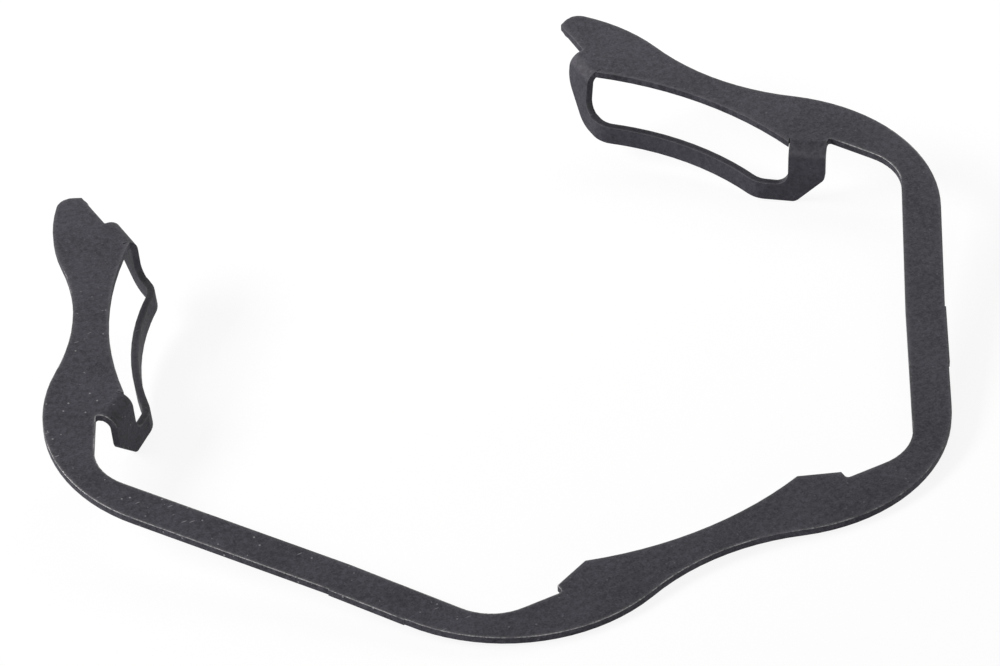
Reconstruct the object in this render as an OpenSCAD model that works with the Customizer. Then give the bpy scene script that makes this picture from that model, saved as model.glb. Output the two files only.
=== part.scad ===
// Bearing retaining ring
// An open clip stamped from spring steel strip. Three saddles hug the bearing and two bars join them.
// Each end saddle carries a spring loop, folded down below the plate. The middle saddle has only stubs.
// The bearing axis is Z, the plate's upper face lies at Z = 0 and the gap opens towards +Y.

/* [Strip] */
// Thickness of the spring steel strip
strip_t = 0.8; // [0.6:0.05:1]

/* [Saddles] */
// Diameter of the bearing that the three saddles hug
seat_d = 80; // [76:0.5:90]
// Width of a saddle at its waist
waist_w = 3.75; // [3:0.05:4.5]
// Radius of the hollow outer edge at the waist
waist_r = 25.5; // [22:0.5:34]
// Radius of the round lobes on either side of the waist
lobe_r = 19; // [17:0.25:21]

/* [Bars] */
// Width of the bars that join the saddles
bar_w = 4.1; // [3:0.1:5]
// Clearance from the bearing to the inner edge of a bar
bar_clear = 1.6; // [1:0.05:3]
// Radius of the inner corner between a bar and a saddle
corner_r = 6; // [4:0.25:7]

/* [Punch marks] */
// Angle by which the +X arm has sprung outwards where two punch strokes meet
splay_right = 1.1; // [0:0.1:3]
// Angle by which the -X arm has sprung outwards where two punch strokes meet
splay_left = 2; // [0:0.1:3]
// Distance from the middle of the +X bar to that place
match_right = 0.5; // [0:0.1:6]
// Distance from the middle of the -X bar to that place
match_left = 6.8; // [0:0.1:8]
// Step on the outer edge of a bar where the strokes meet
match_step = 0.12; // [0.05:0.01:0.3]
// Length of the raised stretch between two steps
match_len = 8.8; // [4:0.2:10]

/* [Leg roots] */
// Length of the bearing arc between the two leg roots of a saddle, across the chord
window_w = 24.6; // [20:0.2:26]
// Width of a leg along its root
leg_w = 4; // [3:0.05:4.5]
// Width of a stub on the middle saddle
stub_w = 4.5; // [3:0.05:4.8]
// Angle by which the leg root beside the bar slants away from the bearing
bar_slant = 22.5; // [14:0.5:24]
// Angle by which the leg root beside the open end slants away from the bearing
tip_slant = 29.5; // [22:0.5:32]
// Rise of the relief notch beside a leg root, above the top of the bearing arc
relief_rise = 0.9; // [0.5:0.05:2]
// Radius in the relief notch beside a leg
relief_r = 0.3; // [0.2:0.05:0.5]
// Distance by which the relief notch stands clear of the edge of the leg
relief_clear = 0.05; // [0.02:0.01:0.1]
// Width of the slit that parts the plate from the inner edge of a leg
slit_w = 0.1; // [0.05:0.01:0.2]
// Rise of the relief notch beside a stub, above the top of the bearing arc
stub_rise = 0.85; // [0.5:0.05:2]
// Radius in the relief notch beside a stub
stub_relief_r = 0.4; // [0.2:0.05:1.1]

/* [Spring loops] */
// Depth of a loop below the upper face of the plate
loop_drop = 7; // [6.4:0.1:9]
// Height of the cross bar of a loop
cross_h = 2.05; // [1.4:0.05:2.6]
// Angle by which a loop leans in under the bearing
loop_lean = 5.5; // [2:0.5:12]
// Inside radius of the fold at a leg root
fold_r = 0.9; // [0.4:0.05:1.2]
// Distance from the leg root beside the open end back to the start of its fold
tip_back = 0.85; // [0.4:0.05:1.2]
// Distance from the bearing surface in to the crest of the wave in the cross bar
crest_inset = 3; // [2.4:0.05:3.6]
// Radius of the crest of the wave
crest_r = 29; // [26:1:40]
// Inside radius of the two humps of the wave
hump_r = 2.3; // [1:0.1:2.6]
// Radius in the lower corners of the window
window_r = 1.4; // [0.4:0.05:1.6]
// Size of the 45 degree bevel on the leg beside the bar
bar_bevel = 3.1; // [1:0.1:3.6]
// Radius of the corners of that bevel
bar_round = 1; // [0.2:0.1:2]
// Size of the 45 degree bevel on the leg beside the open end
tip_bevel = 3.7; // [2.6:0.1:4.4]
// Radius of the corners of that bevel
tip_round = 3; // [0.2:0.1:4]

/* [Open ends] */
// How far an end saddle runs on past its leg
tip_reach = 4; // [3:0.1:5]
// Distance from the start of the fold back to the notch where the end cut starts
notch_gap = 0.1; // [0.1:0.05:0.5]
// Radius of the tip at the outer edge
tip_r = 1.75; // [0.8:0.05:2]

/* [Hidden] */
$fn = 96;
steel = [0.22, 0.22, 0.24];

// Angle between two saddles, and from a saddle to the middle of a bar
pitch = 120;
half_pitch = pitch / 2;
// Angle of the bevels on the legs
bevel_turn = 45;
// How far one solid reaches into its neighbour where they are one piece
lap = 0.4;
// How far a round reaches past the lines and rounds that it is tangent to, so that they cross cleanly
bite = 0.002;
// How far the faces of the cross bar stand proud of those of the legs that it runs into
face_step = 0.01;

// Unit vector at an angle from +X
function heading(a) = [cos(a), sin(a)];
// Vector of length 1 with the same heading
function unit(v) = v / norm(v);
// Distance from a point along a heading to the far side of a circle
function reach(p, d, c, r) = let (q = p - c) sqrt(pow(q * d, 2) - q * q + r * r) - q * d;

// A saddle is drawn with its axis on +Y and its right half on +X
seat_r = seat_d / 2;
bar_in = seat_r + bar_clear;
bar_out = bar_in + bar_w;
bar_normal = heading(90 - half_pitch);
bar_along = heading(-half_pitch);

// Outer edge: a hollow waist arc, a lobe tangent to it, and the bar tangent to the lobe
waist_c = [0, seat_r + waist_w + waist_r];
lobe_path = (bar_out - lobe_r) * bar_normal;
lobe_c = lobe_path + reach(lobe_path, bar_along, waist_c, waist_r + lobe_r) * bar_along;
lobe_start = lobe_c + lobe_r * unit(waist_c - lobe_c);
lobe_end = lobe_c + lobe_r * bar_normal;

// Inner edge: leg root and the top of the relief notch beside it
root_in = [window_w / 2, sqrt(pow(seat_r, 2) - pow(window_w / 2, 2))];
relief_y = seat_r + relief_rise;
function root_lead(slant) = root_in - lap * heading(slant);
function leg_out(slant) = root_in + leg_w * heading(slant);

// The leg beside the bar folds from just inside the end of the straight side of its relief notch
bar_back = (relief_y - relief_r * (1 + sin(bar_slant)) - leg_out(bar_slant).y) / cos(bar_slant) - lap / 2;

// Open end: a cut that runs parallel to the middle of the gap, and a blunt tip
cut_along = heading(90 - half_pitch);
cut_root = leg_out(tip_slant) + relief_clear * heading(tip_slant);
cut_start = cut_root + (tip_back + notch_gap) * heading(tip_slant + 90);
tip_x = leg_out(tip_slant).x + tip_reach;
tip_foot = cut_start + (tip_x - cut_start.x) / cut_along.x * cut_along;
tip_line = [tip_x - tip_r, tip_foot.y];
tip_c = tip_line + reach(tip_line, [0, 1], lobe_c, lobe_r - tip_r) * [0, 1];
tip_end = lobe_c + lobe_r * unit(tip_c - lobe_c);

// A leg is given by the slant of its root and the distance from there back to the start of its fold
bar_leg = [bar_slant, bar_back];
tip_leg = [tip_slant, tip_back];

// Section of a leg, inwards from its root and down: the fold ends where the leg leans freely
fold_outer = fold_r + strip_t;
function fold_c(leg) = [-leg.y, -fold_outer];
function leg_lean(leg) = atan(tan(loop_lean) * cos(leg.x));
function fold_end(leg) = fold_c(leg) + fold_outer * heading(leg_lean(leg));
function leg_foot(leg) = fold_end(leg).x + (fold_end(leg).y + loop_drop) * tan(leg_lean(leg));

// Wave of the cross bar, drawn square to the leaning strip with the crest at its origin
crest_y = seat_r - crest_inset;
crest_c = [0, -crest_r];
hump_outer = hump_r + strip_t;
function leg_toe(leg) = root_in + leg_foot(leg) * heading(leg.x - 90);
function wave_leg(leg) = [leg_toe(leg).x, (leg_toe(leg).y - crest_y) * cos(loop_lean)];
function wave_slant(leg) = atan(tan(leg.x) * cos(loop_lean));
function hump_path(leg) = wave_leg(leg) + hump_outer * heading(wave_slant(leg) + 90);
function hump_c(leg) = let (p = hump_path(leg), d = heading(wave_slant(leg)))
    p + reach(p, d, crest_c, crest_r + hump_outer) * d;

// Face of a leg, along its root and down: where it takes over from the wave
cross_top = cross_h - loop_drop;
function wave_end(leg) = hump_c(leg) + hump_outer * heading(wave_slant(leg) - 90)
    + lap * heading(wave_slant(leg));
function leg_start(leg) = (wave_end(leg).x - leg_toe(leg).x) / cos(leg.x);

// Cap of a lobe from the waist to this point on its edge
module lobe_to(end) {
    intersection() {
        translate(lobe_c) circle(lobe_r + bite);
        polygon([lobe_start - [lap, lap], end, end + [0, lobe_r], lobe_start + [-lap, lobe_r]]);
    }
}

// Everything inside the outer edge of one saddle half, as far as bar_end along the bar
module outer_half(bar_end) {
    difference() {
        union() {
            polygon([[0, 0], (bar_in - bar_w) * bar_normal + bar_end * bar_along,
                bar_out * bar_normal + bar_end * bar_along, lobe_end, lobe_start, [0, lobe_start.y]]);
            lobe_to(lobe_end + lap * bar_along);
        }
        translate(waist_c) circle(waist_r);
    }
}

// Everything inside the inner edge of one saddle half, with a root of this width and a notch beside it
module inner_half(bar_end, root_w, notch_y, notch_r, notch_angle) {
    root_out = root_in + root_w * heading(bar_slant);
    notch_side = heading(notch_angle);
    notch_c = root_out + (notch_y - notch_r - root_out.y) / notch_side.y * notch_side
        + notch_r / notch_side.y * [1, 0];
    notch_end = notch_c - notch_r * heading(notch_angle - 90);
    corner_y = notch_y - corner_r;
    corner_c = [(bar_in - corner_r - corner_y * bar_normal.y) / bar_normal.x, corner_y];
    polygon([[0, 0], bar_in * bar_normal + (bar_end + bar_w) * bar_along, corner_c + corner_r * bar_normal,
        [corner_c.x, notch_y], [notch_c.x, notch_y], notch_c, notch_end, root_out,
        root_lead(bar_slant)]);
    translate(corner_c) circle(corner_r + bite);
    translate(notch_c) circle(notch_r + bite);
}

// Flat outline of a middle saddle half, with its stub
module stub_half(bar_end) {
    difference() {
        outer_half(bar_end);
        inner_half(bar_end, stub_w, seat_r + stub_rise, stub_relief_r, 90);
        circle(seat_r);
    }
}

// Part of the plate that a leg folds away, with the slit along its inner edge
module folded_away(leg) {
    translate(root_in) rotate(leg.x)
        translate([-slit_w, -fold_outer]) square([slit_w + leg_w + lap, fold_outer + leg.y + lap / 8]);
}

// Flat outline of an end saddle half that runs into a bar
module bar_half(bar_end) {
    difference() {
        outer_half(bar_end);
        inner_half(bar_end, leg_w + relief_clear, relief_y, relief_r, 90 + bar_slant);
        circle(seat_r);
        folded_away(bar_leg);
    }
}

// Flat outline of an end saddle half that ends in an open tip
module tip_half() {
    difference() {
        union() {
            polygon([[0, 0], root_lead(tip_slant), cut_root, cut_start, tip_foot, [tip_x, tip_c.y], tip_c,
                tip_end, lobe_start, [0, lobe_start.y]]);
            translate(tip_c) circle(tip_r + 2 * bite);
            lobe_to(tip_end);
        }
        circle(seat_r);
        translate(waist_c) circle(waist_r);
        folded_away(tip_leg);
    }
}

// Raised stretch on the outer edge of a bar of the middle saddle, and the core where two punch strokes meet
module match_mark(match_at) {
    translate((bar_out - bar_w / 2) * bar_normal - match_at * bar_along) rotate(-half_pitch) {
        translate([-match_len, 0]) square([match_len, bar_w / 2 + match_step]);
        square([2 * lap, bar_w / 2], center = true);
    }
}

// Everything behind the section of a leg, from a face at this depth in the strip
module behind_fold(leg, depth, margin) {
    r = fold_outer - depth;
    c = fold_c(leg);
    leg_top = c + r * heading(leg_lean(leg));
    leg_low = leg_top + (loop_drop + margin) * heading(leg_lean(leg) - 90);
    plate_end = c - [fold_outer + margin, 0];
    polygon([plate_end + [0, r], c + [0, r], c, leg_top, leg_low, plate_end - [0, 2 * loop_drop]]);
    translate(c) circle(r);
}

// Section of a leg: the edge of the plate, the fold and the leaning drop
module leg_section(leg) {
    difference() {
        behind_fold(leg, 0, lap);
        behind_fold(leg, strip_t, 2 * lap);
    }
}

// Point where the round on this corner of a bevel leaves the straight edge with this heading
function corner_end(corner, corner_r, edge) = corner + corner_r * tan(bevel_turn / 2) * heading(edge);

// Cap of the round on a corner of a bevel that points out at this angle
module bevel_corner(corner, corner_r, out) {
    one = corner_end(corner, corner_r, out + 90 + bevel_turn / 2);
    other = corner_end(corner, corner_r, out - 90 - bevel_turn / 2);
    intersection() {
        translate(corner - corner_r / cos(bevel_turn / 2) * heading(out)) circle(corner_r + bite);
        polygon([one, corner, other, other - lap * heading(out), one - lap * heading(out)]);
    }
}

// Face of a leg with the start of the cross bar, seen square on
module leg_outline(leg, bevel, bevel_r) {
    start = leg_start(leg);
    high = [leg_w, bevel - loop_drop];
    low = [leg_w - bevel, -loop_drop];
    difference() {
        union() {
            polygon([[0, lap], [leg_w, lap], corner_end(high, bevel_r, 90),
                corner_end(high, bevel_r, -90 - bevel_turn), corner_end(low, bevel_r, bevel_turn),
                corner_end(low, bevel_r, 180), [start, -loop_drop], [start, cross_top],
                [-window_r, cross_top], [-window_r, cross_top + window_r], [0, cross_top + window_r]]);
            bevel_corner(high, bevel_r, -bevel_turn / 2);
            bevel_corner(low, bevel_r, bevel_turn / 2 - 90);
        }
        translate([-window_r, cross_top + window_r]) circle(window_r);
    }
}

// One leg, folded down at its slanted root
module folded_leg(leg, bevel, bevel_r) {
    translate(root_in) rotate(leg.x) intersection() {
        rotate([90, 0, -90]) linear_extrude(4 * leg_w, center = true) leg_section(leg);
        translate([0, leg.y + lap, 0]) rotate([90, 0, 0])
            linear_extrude(4 * fold_outer + loop_drop) leg_outline(leg, bevel, bevel_r);
    }
}

// Everything behind one half of the wave, from a face at this depth in the strip
module behind_wave(leg, depth, margin) {
    r = hump_outer - depth;
    c = hump_c(leg);
    to_crest = unit(crest_c - c);
    crest_end = c + r * to_crest;
    hump_end = c + r * heading(wave_slant(leg) - 90);
    strip_end = hump_end + (hump_outer + margin) * heading(wave_slant(leg));
    far_end = strip_end + (3 * hump_outer + margin) * heading(wave_slant(leg) + 90);
    difference() {
        union() {
            polygon([[0, crest_end.y - lap], crest_end + lap * to_crest, c, hump_end, strip_end, far_end,
                [0, c.y + 3 * hump_outer + margin]]);
            translate(c) circle(r + bite);
        }
        translate(crest_c) circle(crest_r + depth);
    }
}

// Cross bar of a loop: the leaning strip follows two humps and the crest between them
module cross_bar() {
    intersection() {
        translate([0, crest_y, -loop_drop]) rotate([-loop_lean, 0, 0])
            linear_extrude(2 * loop_drop, center = true) for (side = [0, 1]) mirror([side, 0]) difference() {
                behind_wave(side == 0 ? bar_leg : tip_leg, -face_step, lap);
                behind_wave(side == 0 ? bar_leg : tip_leg, strip_t + face_step, 2 * lap);
            }
        translate([-wave_end(tip_leg).x - lap, 0, -loop_drop])
            cube([wave_end(tip_leg).x + wave_end(bar_leg).x + 2 * lap, seat_d, cross_h]);
    }
}

// Spring loop: two legs and the waved cross bar between them
module spring_loop() {
    folded_leg(bar_leg, bar_bevel, bar_round);
    mirror([1, 0, 0]) folded_leg(tip_leg, tip_bevel, tip_round);
    cross_bar();
}

// Moves an end saddle to its place on the +X side, turned about the inner edge of its bar
module sprung_arm(match_at, splay) {
    turn = bar_in * bar_normal + match_at * bar_along;
    rotate(-half_pitch) translate(turn) rotate(-splay) translate(-turn) children();
}

// Flat outline of one end arm, on the +X side
module arm_outline(match_at, splay) {
    sprung_arm(match_at, splay) {
        bar_half(match_at);
        mirror([1, 0]) tip_half();
    }
}

// The ring in one piece
module retaining_ring() {
    color(steel) {
        translate([0, 0, -strip_t]) linear_extrude(strip_t) {
            rotate(180) {
                stub_half(-match_left);
                match_mark(match_left);
                mirror([1, 0]) {
                    stub_half(-match_right);
                    match_mark(match_right);
                }
            }
            arm_outline(match_right, splay_right);
            mirror([1, 0]) arm_outline(match_left, splay_left);
        }
        sprung_arm(match_right, splay_right) spring_loop();
        mirror([1, 0, 0]) sprung_arm(match_left, splay_left) spring_loop();
    }
}

retaining_ring();
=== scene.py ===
"""Bearing retaining ring of black spring steel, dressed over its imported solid."""

import math

import bpy
from bpy.props import FloatProperty, FloatVectorProperty, IntProperty, PointerProperty
from bpy.types import Operator, Panel, PropertyGroup
from mathutils import Matrix, Vector


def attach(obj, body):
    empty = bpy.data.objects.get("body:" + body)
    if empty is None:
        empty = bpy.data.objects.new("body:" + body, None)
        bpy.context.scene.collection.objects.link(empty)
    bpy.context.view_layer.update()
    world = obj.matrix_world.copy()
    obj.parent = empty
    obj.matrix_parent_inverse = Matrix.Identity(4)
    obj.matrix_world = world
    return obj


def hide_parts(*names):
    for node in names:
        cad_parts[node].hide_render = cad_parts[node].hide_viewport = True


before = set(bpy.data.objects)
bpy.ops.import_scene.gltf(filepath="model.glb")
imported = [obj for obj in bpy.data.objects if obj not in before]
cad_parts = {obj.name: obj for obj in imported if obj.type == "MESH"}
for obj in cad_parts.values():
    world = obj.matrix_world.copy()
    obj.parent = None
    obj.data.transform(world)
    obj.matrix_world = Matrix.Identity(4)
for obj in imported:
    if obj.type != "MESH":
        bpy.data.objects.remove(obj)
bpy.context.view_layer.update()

bl_info = {
    "name": "Bearing Retaining Ring",
    "version": (1, 0, 0),
    "blender": (4, 5, 0),
    "location": "View3D > Sidebar > Ring",
    "description": "Dresses the stamped ring in black steel and sets a plain studio round it",
    "category": "Object",
}

NODE = "retaining_ring"

# Shares of crystals, blotches and clouds in the tone of the finish
GRAIN_SHARE = 0.3
MOTTLE_SHARE = 0.45
CLOUD_SHARE = 0.25

# Tone at which the finish starts to pale: the lower, the calmer it looks
LEG_TONE = 0.2
PLATE_TONE = 0.34

# Specks: radius in cells of their pattern, share of cells that hold one, strength on the legs
SPECK_RADIUS = 0.15
SPECK_SHARE = 0.7
SPECKS_ON_LEGS = 0.3

# Scratches are cells too, in a pattern squeezed along X and turned about Z, in radians
SCRATCH_RADIUS = 0.13
SCRATCH_SHARE = 0.1
SCRATCH_SQUEEZE = 0.15
SCRATCH_TURNS = (0.4, -0.9)

# Distances from a place at which its marks, or its wear and painted highlight, start and are at their
# most
MARK_REACH = (0.045, 0.02)
SIDE_REACH = (0.08, 0.015)
CORNER_REACH = (0.0055, 0.002)

# Strength of the marks and of the edge wear with its painted highlight, far from those places and near
# them; at the corner it is a painted highlight only
MARK_STRENGTH = (0.11, 0.52)
SIDE_WEAR_AND_HIGHLIGHT = (-0.06, 0.16)
CORNER_HIGHLIGHT = (0.0, 0.8)

# Wear and painted highlight of the inner and the outer edges, and the width over which one becomes the
# other
EDGE_WEAR_AND_HIGHLIGHT = (0.25, 0.8)
OUTER_BLEND = 0.002

# Span of the noise of the wear and painted highlight over which the finish goes, and how crystals break
# its patches up
PATCH_SPAN = (0.44, 0.72)
BREAK_SPAN = (0.3, 0.6)
BREAK_STRENGTH = (0.3, 1.0)

# Upward share of a face's normal: from wall to upper face, and from plate to bend; bends that face partly
# up are paled as a painted highlight
UPPER_SPAN = (0.1, 0.5)
BEND_SPAN = (0.995, 0.85)
BEND_HIGHLIGHT = 0.7

# Cosine between a face and its rounded normal, from clear of an edge to beside it
EDGE_SPAN = (0.998, 0.85)
EDGE_SAMPLES = 8

# Gloss and bump of the faces and of the rolled edges, and how metallic bare steel is
GRAIN_SPAN = (0.3, 0.7)
FACE_ROUGHNESS = (0.68, 0.54)
EDGE_ROUGHNESS = (0.6, 0.38)
FACE_SPECULAR = 0.12
EDGE_SPECULAR = 0.25
FACE_BUMP = 0.35
EDGE_BUMP = 0.2
BUMP_HEIGHT = 0.00002
BARE_METAL = 0.6

# Width and height of the lamps, and width of the camera's sensor in millimetres
WIDE_LAMP = (0.4, 0.16)
SMALL_LAMP = (0.30, 0.10)
SENSOR_WIDTH = 36

# Colour of the ground as it is seen, and of the light from all round
WHITE = (1, 1, 1, 1)


# Settings

class RingFinish(PropertyGroup):
    """Edges and finish of the stamped ring."""

    weld: FloatProperty(
        name="Weld", description="Points closer than this become one",
        default=0.00006, unit="LENGTH", precision=6)
    flat_angle: FloatProperty(
        name="Flat Angle", description="Faces that turn less than this are one flat face",
        default=math.radians(0.4), subtype="ANGLE")
    sharp_angle: FloatProperty(
        name="Sharp Angle", description="Edges that turn more than this are rolled",
        default=math.radians(35), subtype="ANGLE")
    edge_roll: FloatProperty(
        name="Edge Roll", description="Width of the rolled edge that stamping and tumbling leave",
        default=0.00005, unit="LENGTH", precision=6)
    edge_steps: IntProperty(
        name="Edge Steps", description="Faces across a rolled edge", default=2, min=1, max=4)
    dark: FloatVectorProperty(
        name="Dark", description="Darkest crystals of the black finish",
        default=(0.0200, 0.0191, 0.0241), subtype="COLOR", min=0, max=1)
    pale: FloatVectorProperty(
        name="Pale", description="Palest crystals of the black finish",
        default=(0.0668, 0.0641, 0.0790), subtype="COLOR", min=0, max=1)
    speck: FloatVectorProperty(
        name="Speck", description="Small bare specks and scratches",
        default=(0.435, 0.42, 0.428), subtype="COLOR", min=0, max=1)
    # Pale steel colour for edge wear and for painted highlights on edges, on the bends and at one inner
    # corner
    worn_and_lit: FloatVectorProperty(
        name="Worn", description="Steel that shows where an edge is rubbed",
        default=(0.435, 0.42, 0.42), subtype="COLOR", min=0, max=1)
    grain: FloatProperty(
        name="Grain", description="Size of the finish's crystals",
        default=0.00022, unit="LENGTH", precision=6)
    mottle: FloatProperty(
        name="Mottle", description="Size of the small blotches in the finish",
        default=0.0006, unit="LENGTH", precision=6)
    cloud: FloatProperty(
        name="Clouds", description="Size of the soft pale and dark patches",
        default=0.006, unit="LENGTH", precision=6)
    strip: FloatProperty(
        name="Strip", description="Thickness of the strip: lower down, the folded legs are smoother",
        default=0.0008, unit="LENGTH", precision=4)
    speck_gap: FloatProperty(
        name="Speck Gap", description="Distance between places where a speck may lie",
        default=0.0009, unit="LENGTH", precision=6)
    marked_side: FloatVectorProperty(
        name="Marked Side", description="Place about which specks and scratches gather",
        default=(-0.043, -0.012, 0), subtype="TRANSLATION", precision=4)
    # Place about which edge wear and painted edge highlights are strongest
    worn_and_lit_side: FloatVectorProperty(
        name="Worn Side", description="Place about which the edges are most worn",
        default=(-0.036, -0.028, 0), subtype="TRANSLATION", precision=4)
    # Place of a painted highlight on an inner edge
    highlight_corner: FloatVectorProperty(
        name="Worn Corner", description="Place on the inner edge that something has rubbed",
        default=(0.0467, 0.0015, 0), subtype="TRANSLATION", precision=4)
    # Patches of edge wear and painted highlight
    wear_and_highlight_patch: FloatProperty(
        name="Wear Patch", description="Size of the worn patches along an edge",
        default=0.0025, unit="LENGTH", precision=6)
    wear_and_highlight_width: FloatProperty(
        name="Wear Width", description="How far the wear reaches in from an edge",
        default=0.0004, unit="LENGTH", precision=6)
    # Outer edges carry more wear and painted highlight
    outer_edge: FloatProperty(
        name="Outer Edge", description="Distance from the bearing centre past which an edge wears most",
        default=0.0435, unit="LENGTH", precision=4)
    # Share of pale steel colour on upper faces: a paler band beside edges, and a painted highlight on the
    # bends
    edge_and_bend_paling: FloatProperty(
        name="Thin Edge", description="Share of bare steel that shows along all upper edges",
        default=0.08, min=0, max=1)
    # Width of the paler band along upper edges
    pale_edge_width: FloatProperty(
        name="Thin Width", description="How far the thin finish reaches in from an edge",
        default=0.0011, unit="LENGTH", precision=6)


class RingStudio(PropertyGroup):
    """Camera, lamps and floor."""

    turn: FloatProperty(
        name="Turn", description="Camera's direction about the bearing axis, from the X axis",
        default=math.radians(-118.227), subtype="ANGLE")
    rise: FloatProperty(
        name="Rise", description="Camera's height angle above the plate",
        default=math.radians(40.116), subtype="ANGLE")
    roll: FloatProperty(
        name="Roll", description="Camera's turn about its own line of sight",
        default=math.radians(-1.669), subtype="ANGLE")
    distance: FloatProperty(
        name="Distance", description="Camera's distance from the bearing centre",
        default=0.62146, unit="LENGTH", precision=5)
    lens: FloatProperty(
        name="Lens", description="Camera's focal length in millimetres", default=214.74)
    shift: FloatVectorProperty(
        name="Shift", description="Camera shift, in widths of the picture",
        default=(-0.00549, -0.02611), size=2)
    floor_size: FloatProperty(
        name="Floor", description="Side of the square floor", default=0.9, unit="LENGTH")
    floor_tone: FloatProperty(
        name="Floor Tone", description="How pale the floor is", default=0.86, min=0, max=1)
    floor_glow: FloatProperty(
        name="Floor Glow", description="Share of plain white in the floor as the camera sees it",
        default=0.85, min=0, max=1)
    floor_white: FloatProperty(
        name="Floor White",
        description="Strength of that white, which the lit paint brings up to the surround's",
        default=1.05, min=0)
    sky: FloatProperty(
        name="Sky", description="Strength of the even light from all round", default=0.03, min=0)
    key_power: FloatProperty(
        name="Key", description="Power of the lamp on the left in watts", default=3.6, min=0)
    key_place: FloatVectorProperty(
        name="Key Place", description="Where the lamp on the left hangs",
        default=(-0.43, 0.28, 0.27), subtype="TRANSLATION", precision=3)
    front_power: FloatProperty(
        name="Front", description="Power of the lamp in front of the ring in watts", default=1.4, min=0)
    front_place: FloatVectorProperty(
        name="Front Place", description="Where the lamp in front of the ring hangs",
        default=(-0.135, -0.50, 0.09), subtype="TRANSLATION", precision=3)
    back_power: FloatProperty(
        name="Back", description="Power of the lamp behind the ring in watts", default=0.28, min=0)
    back_place: FloatVectorProperty(
        name="Back Place", description="Where the lamp behind the ring hangs",
        default=(0.10, 0.16, 0.11), subtype="TRANSLATION", precision=3)


# Node helpers

class Nodes:
    """Adds linked nodes to one node tree."""

    def __init__(self, tree):
        self.tree = tree
        tree.nodes.clear()

    def add(self, kind, inputs=(), **settings):
        """A new node with these settings and these values or links on its inputs."""
        node = self.tree.nodes.new(kind)
        for name, value in settings.items():
            setattr(node, name, value)
        for socket, value in dict(inputs).items():
            self.put(node.inputs[socket], value)
        return node

    def put(self, socket, value):
        """Link a socket to another, or set its value."""
        if isinstance(value, bpy.types.NodeSocket):
            self.tree.links.new(value, socket)
        else:
            socket.default_value = value

    def place(self):
        """Coordinates on the piece, in metres."""
        return self.add("ShaderNodeTexCoord").outputs["Object"]

    def normal(self):
        """Direction that the face looks in."""
        return self.add("ShaderNodeNewGeometry").outputs["Normal"]

    def height(self, vector):
        """Z of a vector."""
        return self.add("ShaderNodeSeparateXYZ", {"Vector": vector}).outputs["Z"]

    def math(self, operation, a, b):
        """Two values joined by an operation."""
        return self.add("ShaderNodeMath", {0: a, 1: b}, operation=operation).outputs[0]

    def vector_math(self, operation, a, b=(0, 0, 0)):
        """The number that an operation on one or two vectors gives."""
        return self.add("ShaderNodeVectorMath", {0: a, 1: b}, operation=operation).outputs["Value"]

    def ramp(self, value, low, high, out_low=0.0, out_high=1.0):
        """A smooth step from out_low to out_high as a value goes from low to high."""
        node = self.add("ShaderNodeMapRange", {
            "Value": value, "From Min": low, "From Max": high,
            "To Min": out_low, "To Max": out_high}, interpolation_type="SMOOTHSTEP")
        return node.outputs["Result"]

    def noise(self, vector, size, detail, rough):
        """Noise whose largest patches have about this size."""
        node = self.add("ShaderNodeTexNoise", {
            "Vector": vector, "Scale": 1 / size, "Detail": detail, "Roughness": rough})
        return node.outputs["Fac"]

    def blend(self, factor, a, b):
        """Colour a, turning into colour b as the factor goes from 0 to 1."""
        node = self.add("ShaderNodeMix", {0: factor}, data_type="RGBA")
        colours = [socket for socket in node.inputs if socket.type == "RGBA"]
        self.put(colours[0], a)
        self.put(colours[1], b)
        return next(socket for socket in node.outputs if socket.type == "RGBA")


def new_material(name):
    """A material with an empty node tree, and the helper that fills it."""
    material = bpy.data.materials.new(name)
    material.use_nodes = True
    return material, Nodes(material.node_tree)


def opaque(colour):
    """A colour with full alpha."""
    return (*colour, 1.0)


# Finishes

def cells(nodes, place, gap, radius, share):
    """Small round marks at this share of the cells of a pattern."""
    cell = nodes.add("ShaderNodeTexVoronoi", {"Vector": place, "Scale": 1 / gap})
    pick = nodes.add("ShaderNodeSeparateColor", {"Color": cell.outputs["Color"]}).outputs["Red"]
    mark = nodes.ramp(cell.outputs["Distance"], radius, radius / 2)
    return nodes.math("MULTIPLY", mark, nodes.ramp(pick, 1 - share, 1 - share / 2))


def towards(nodes, spot, reach, strength):
    """A strength that grows towards a spot, between the two distances in reach."""
    return nodes.ramp(nodes.vector_math("DISTANCE", nodes.place(), spot), *reach, *strength)


def by_height(nodes, finish, on_legs, on_plate):
    """One value on the folded legs and another on the plate."""
    return nodes.ramp(nodes.height(nodes.place()), -2 * finish.strip, -finish.strip, on_legs, on_plate)


def bare_marks(nodes, finish):
    """Specks, fainter on the legs, and short scratches, most of all about the marked side."""
    place = nodes.place()
    specks = cells(nodes, place, finish.speck_gap, SPECK_RADIUS, SPECK_SHARE)
    marks = nodes.math("MULTIPLY", specks, by_height(nodes, finish, SPECKS_ON_LEGS, 1.0))
    for turn in SCRATCH_TURNS:
        lay = nodes.add("ShaderNodeMapping", {
            "Vector": place, "Rotation": (0, 0, turn), "Scale": (SCRATCH_SQUEEZE, 1, 1)})
        scratch = cells(nodes, lay.outputs["Vector"], finish.speck_gap / 2, SCRATCH_RADIUS, SCRATCH_SHARE)
        marks = nodes.math("MAXIMUM", marks, scratch)
    return nodes.math("MULTIPLY", marks, towards(nodes, finish.marked_side, MARK_REACH, MARK_STRENGTH))


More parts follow.
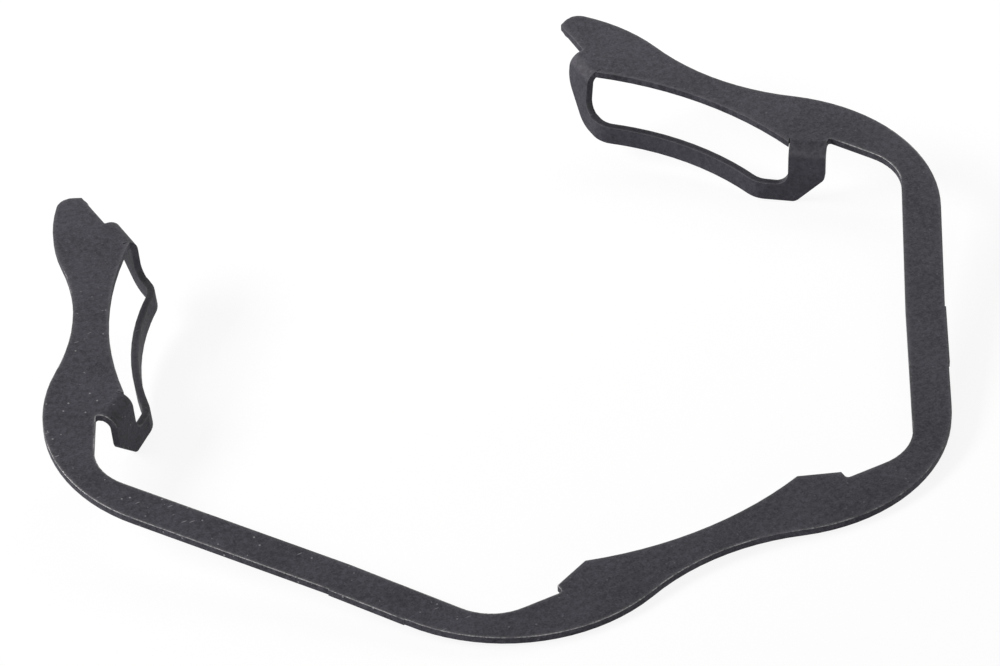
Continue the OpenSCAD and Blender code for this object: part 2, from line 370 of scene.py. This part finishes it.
def black_finish(nodes, finish):
    """The mottled black finish with its specks and scratches: its colour and its grain."""
    place = nodes.place()
    grain = nodes.noise(place, finish.grain, detail=2.0, rough=0.6)
    mottle = nodes.noise(place, finish.mottle, detail=3.0, rough=0.65)
    cloud = nodes.noise(place, finish.cloud, detail=3.0, rough=0.6)
    tone = nodes.math("MULTIPLY", grain, GRAIN_SHARE)
    tone = nodes.math("ADD", tone, nodes.math("MULTIPLY", mottle, MOTTLE_SHARE))
    tone = nodes.math("ADD", tone, nodes.math("MULTIPLY", cloud, CLOUD_SHARE))
    start = by_height(nodes, finish, LEG_TONE, PLATE_TONE)
    share = nodes.ramp(tone, start, nodes.math("SUBTRACT", 1.0, start))
    colour = nodes.blend(share, opaque(finish.dark), opaque(finish.pale))
    return nodes.blend(bare_marks(nodes, finish), colour, opaque(finish.speck)), grain


def upper(nodes):
    """1 on faces that look up, 0 on walls and undersides."""
    return nodes.ramp(nodes.height(nodes.normal()), *UPPER_SPAN)


def near_edge(nodes, width):
    """How close a point lies to a sharp edge: the rounded normal turns away from the face there."""
    rounded = nodes.add("ShaderNodeBevel", {"Radius": width}, samples=EDGE_SAMPLES).outputs["Normal"]
    return nodes.ramp(nodes.vector_math("DOT_PRODUCT", rounded, nodes.normal()), *EDGE_SPAN)


def rubbed_and_lit(nodes, finish, grain):
    """Pale patches on the upper edges, most of all on the outer ones: partly wear of the finish, partly
    painted highlight where edges catch the light, with a painted highlight at one inner corner.
    """
    place = nodes.place()
    # Wear and painted highlight grow towards the lit side
    side = towards(nodes, finish.worn_and_lit_side, SIDE_REACH, SIDE_WEAR_AND_HIGHLIGHT)
    # A painted highlight at one inner corner
    corner = towards(nodes, finish.highlight_corner, CORNER_REACH, CORNER_HIGHLIGHT)
    patch = nodes.noise(place, finish.wear_and_highlight_patch, detail=5.0, rough=0.7)
    patch = nodes.math("ADD", patch, nodes.math("ADD", side, corner))
    broken = nodes.ramp(grain, *BREAK_SPAN, *BREAK_STRENGTH)
    spots = nodes.math("MULTIPLY", nodes.ramp(patch, *PATCH_SPAN), broken)
    radius = nodes.vector_math("LENGTH", place)
    outer = nodes.ramp(radius, finish.outer_edge - OUTER_BLEND, finish.outer_edge, *EDGE_WEAR_AND_HIGHLIGHT)
    return nodes.math("MULTIPLY", nodes.math("MULTIPLY", spots, outer), upper(nodes))


def upper_paling(nodes, finish):
    """A little pale steel colour on upper faces: a paler band beside edges, and a painted highlight on
    the bends.
    """
    return nodes.math("MULTIPLY", upper(nodes), finish.edge_and_bend_paling)


def coat(nodes, grain, bump_strength, sockets):
    """Finish a material with its shader, bumpy by the grain."""
    bump = nodes.add("ShaderNodeBump", {
        "Strength": bump_strength, "Distance": BUMP_HEIGHT, "Height": grain})
    shader = nodes.add("ShaderNodeBsdfPrincipled", {**sockets, "Normal": bump.outputs["Normal"]})
    nodes.add("ShaderNodeOutputMaterial", {"Surface": shader.outputs["BSDF"]})


def make_black_steel(finish):
    """Black finish on the sheet's faces and cut walls, with edge wear and painted highlight beside edges,
    a paler band along upper edges and a painted highlight on bends.
    """
    material, nodes = new_material("black_steel")
    colour, grain = black_finish(nodes, finish)
    # Edge wear mixed with painted highlight, beside sharp upper edges
    bare = nodes.math("MULTIPLY", rubbed_and_lit(nodes, finish, grain), near_edge(nodes, finish.wear_and_highlight_width))
    # Bends paled as a painted highlight
    bend = nodes.ramp(nodes.height(nodes.normal()), *BEND_SPAN, 0.0, BEND_HIGHLIGHT)
    # A paler band along upper edges, together with the bend highlight
    paling = nodes.math("MAXIMUM", bend, near_edge(nodes, finish.pale_edge_width))
    paling = nodes.math("MULTIPLY", upper_paling(nodes, finish), paling)
    rub_and_highlight = nodes.math("MAXIMUM", bare, paling)
    coat(nodes, grain, FACE_BUMP, {
        "Base Color": nodes.blend(rub_and_highlight, colour, opaque(finish.worn_and_lit)),
        "Roughness": nodes.ramp(grain, *GRAIN_SPAN, *FACE_ROUGHNESS),
        "Specular IOR Level": FACE_SPECULAR})
    return material


def make_worn_and_lit_edge(finish):
    """The same finish on the rolled edges, with pale steel and some metal where the finish wears through
    and as painted highlight where edges catch the light.
    """
    material, nodes = new_material("black_steel_worn_and_lit_edge")
    colour, grain = black_finish(nodes, finish)
    # Edge wear and painted highlight, with a little pale steel on upper faces
    rub_and_highlight = nodes.math("MAXIMUM", rubbed_and_lit(nodes, finish, grain), upper_paling(nodes, finish))
    coat(nodes, grain, EDGE_BUMP, {
        "Base Color": nodes.blend(rub_and_highlight, colour, opaque(finish.worn_and_lit)),
        "Roughness": nodes.ramp(rub_and_highlight, 0.0, 1.0, *EDGE_ROUGHNESS),
        "Metallic": nodes.math("MULTIPLY", rub_and_highlight, BARE_METAL),
        "Specular IOR Level": EDGE_SPECULAR})
    return material


# The ring

class RING_OT_steel_ring(Operator):
    """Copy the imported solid, roll its sharp edges and give it the black finish."""

    bl_idname = "ring.steel_ring"
    bl_label = "Steel Ring"

    def execute(self, context):
        finish = context.scene.ring_finish
        bpy.ops.object.select_all(action="DESELECT")
        ring = bpy.data.objects.new("steel_ring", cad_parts[NODE].data.copy())
        context.scene.collection.objects.link(ring)
        context.view_layer.objects.active = ring
        ring.select_set(True)
        ring.data.materials.clear()
        ring.data.materials.append(make_black_steel(finish))
        # Rolled edges get the finish with edge wear and painted highlight
        ring.data.materials.append(make_worn_and_lit_edge(finish))
        worn_and_lit_edge = len(ring.data.materials) - 1

        bpy.ops.object.mode_set(mode="EDIT")
        bpy.ops.mesh.select_mode(type="EDGE")
        bpy.ops.mesh.select_all(action="SELECT")
        bpy.ops.mesh.remove_doubles(threshold=finish.weld)
        bpy.ops.mesh.dissolve_degenerate(threshold=finish.weld)
        bpy.ops.mesh.dissolve_limited(angle_limit=finish.flat_angle)
        bpy.ops.mesh.select_all(action="DESELECT")
        bpy.ops.mesh.edges_select_sharp(sharpness=finish.sharp_angle)
        bpy.ops.mesh.bevel(
            offset=finish.edge_roll, segments=finish.edge_steps, affect="EDGES",
            clamp_overlap=False, material=worn_and_lit_edge)
        bpy.ops.object.mode_set(mode="OBJECT")
        bpy.ops.object.shade_smooth_by_angle(angle=finish.sharp_angle)
        flat = ring.modifiers.new("flat_faces", "WEIGHTED_NORMAL")
        flat.keep_sharp = True
        bpy.ops.object.modifier_apply(modifier=flat.name)

        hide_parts(NODE)
        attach(ring, "root")
        return {"FINISHED"}


# The studio

def rest_line(points):
    """Slope and height, along Y, of the flat ground that the ring settles on.

    The ground lies along the side of the ring's lower hull that is under its middle.
    """
    middle = (min(y for y, z in points) + max(y for y, z in points)) / 2
    lower = []
    for y, z in sorted(points):
        while len(lower) > 1:
            (y0, z0), (y1, z1) = lower[-2:]
            if (y1 - y0) * (z - z0) > (z1 - z0) * (y - y0):
                break
            lower.pop()
        lower.append((y, z))
    for (y0, z0), (y1, z1) in zip(lower, lower[1:]):
        if y0 <= middle <= y1:
            slope = (z1 - z0) / (y1 - y0)
            return slope, z0 - slope * y0
    raise RuntimeError("the ring has no ground to settle on")


def seen_ray(nodes):
    """1 for rays on which the white ground shows: to the camera, in gloss and through glass."""
    path = nodes.add("ShaderNodeLightPath").outputs
    seen = nodes.math("MAXIMUM", path["Is Camera Ray"], path["Is Glossy Ray"])
    return nodes.math("MAXIMUM", seen, path["Is Transmission Ray"])


def make_pale_floor(studio):
    """Pale paint that keeps the shadow, mixed with white where the floor is seen."""
    material, nodes = new_material("pale_floor")
    tone = studio.floor_tone
    paint = nodes.add("ShaderNodeBsdfDiffuse", {"Color": opaque((tone, tone, tone))})
    white = nodes.add("ShaderNodeEmission", {"Color": WHITE, "Strength": studio.floor_white})
    share = nodes.math("MULTIPLY", seen_ray(nodes), studio.floor_glow)
    mix = nodes.add("ShaderNodeMixShader", {
        0: share, 1: paint.outputs["BSDF"], 2: white.outputs["Emission"]})
    nodes.add("ShaderNodeOutputMaterial", {"Surface": mix.outputs["Shader"]})
    return material


class RING_OT_studio(Operator):
    """Set the floor, the lamps, the white surround and the camera."""

    bl_idname = "ring.studio"
    bl_label = "Studio"

    def execute(self, context):
        studio = context.scene.ring_studio
        self.lay_floor(context, studio)
        self.hang_lamps(context, studio)
        self.light_surround(context, studio)
        self.place_camera(context, studio)
        context.scene.view_settings.view_transform = "Standard"
        return {"FINISHED"}

    def lay_floor(self, context, studio):
        """Lay the floor under the ring, at the slope on which the ring rests."""
        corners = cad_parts[NODE].data.vertices
        slope, height = rest_line([(corner.co.y, corner.co.z) for corner in corners])
        bpy.ops.object.select_all(action="DESELECT")
        bpy.ops.mesh.primitive_plane_add(
            size=studio.floor_size, location=(0, 0, height), rotation=(math.atan(slope), 0, 0))
        floor = context.object
        floor.name = "floor"
        floor.data.materials.append(make_pale_floor(studio))

    def hang_lamps(self, context, studio):
        """Hang the three soft lamps, each looking at the bearing centre."""
        lamps = (
            ("key_lamp", studio.key_power, studio.key_place, WIDE_LAMP),
            ("front_lamp", studio.front_power, studio.front_place, WIDE_LAMP),
            ("back_lamp", studio.back_power, studio.back_place, SMALL_LAMP),
        )
        for name, power, place, (width, height) in lamps:
            light = bpy.data.lights.new(name, "AREA")
            light.energy = power
            light.shape = "RECTANGLE"
            light.size = width
            light.size_y = height
            lamp = bpy.data.objects.new(name, light)
            context.scene.collection.objects.link(lamp)
            lamp.location = place
            lamp.rotation_euler = (-Vector(place)).to_track_quat("-Z", "Y").to_euler()

    def light_surround(self, context, studio):
        """Fill the world with faint light, seen as white."""
        world = bpy.data.worlds.new("white_surround")
        context.scene.world = world
        world.use_nodes = True
        nodes = Nodes(world.node_tree)
        strength = nodes.ramp(seen_ray(nodes), 0.0, 1.0, studio.sky, 1.0)
        glow = nodes.add("ShaderNodeBackground", {"Color": WHITE, "Strength": strength})
        nodes.add("ShaderNodeOutputWorld", {"Surface": glow.outputs["Background"]})

    def place_camera(self, context, studio):
        """Stand the camera where the view was taken from, looking at the bearing centre."""
        back = Vector((
            math.cos(studio.rise) * math.cos(studio.turn),
            math.cos(studio.rise) * math.sin(studio.turn),
            math.sin(studio.rise)))
        right = Vector((0, 0, 1)).cross(back).normalized()
        up = back.cross(right)
        level = Matrix((right, up, back)).transposed().to_4x4()
        data = bpy.data.cameras.new("camera")
        data.sensor_fit = "HORIZONTAL"
        data.sensor_width = SENSOR_WIDTH
        data.lens = studio.lens
        data.shift_x, data.shift_y = studio.shift
        camera = bpy.data.objects.new("camera", data)
        context.scene.collection.objects.link(camera)
        camera.matrix_world = (
            Matrix.Translation(back * studio.distance) @ level @ Matrix.Rotation(studio.roll, 4, "Z"))
        context.scene.camera = camera


# The add-on

class RING_PT_panel(Panel):
    """Lists the ring's settings and steps."""

    bl_idname = "RING_PT_panel"
    bl_label = "Bearing Retaining Ring"
    bl_space_type = "VIEW_3D"
    bl_region_type = "UI"
    bl_category = "Ring"

    def draw(self, context):
        for group, operator in (("ring_finish", RING_OT_steel_ring), ("ring_studio", RING_OT_studio)):
            box = self.layout.box()
            settings = getattr(context.scene, group)
            for name in settings.__annotations__:
                box.prop(settings, name)
            box.operator(operator.bl_idname)


CLASSES = (RingFinish, RingStudio, RING_OT_steel_ring, RING_OT_studio, RING_PT_panel)


def register():
    for cls in CLASSES:
        bpy.utils.register_class(cls)
    bpy.types.Scene.ring_finish = PointerProperty(type=RingFinish)
    bpy.types.Scene.ring_studio = PointerProperty(type=RingStudio)


def unregister():
    del bpy.types.Scene.ring_studio
    del bpy.types.Scene.ring_finish
    for cls in reversed(CLASSES):
        bpy.utils.unregister_class(cls)


def main():
    register()
    bpy.ops.ring.steel_ring()
    bpy.ops.ring.studio()


if __name__ == "__main__":
    main()
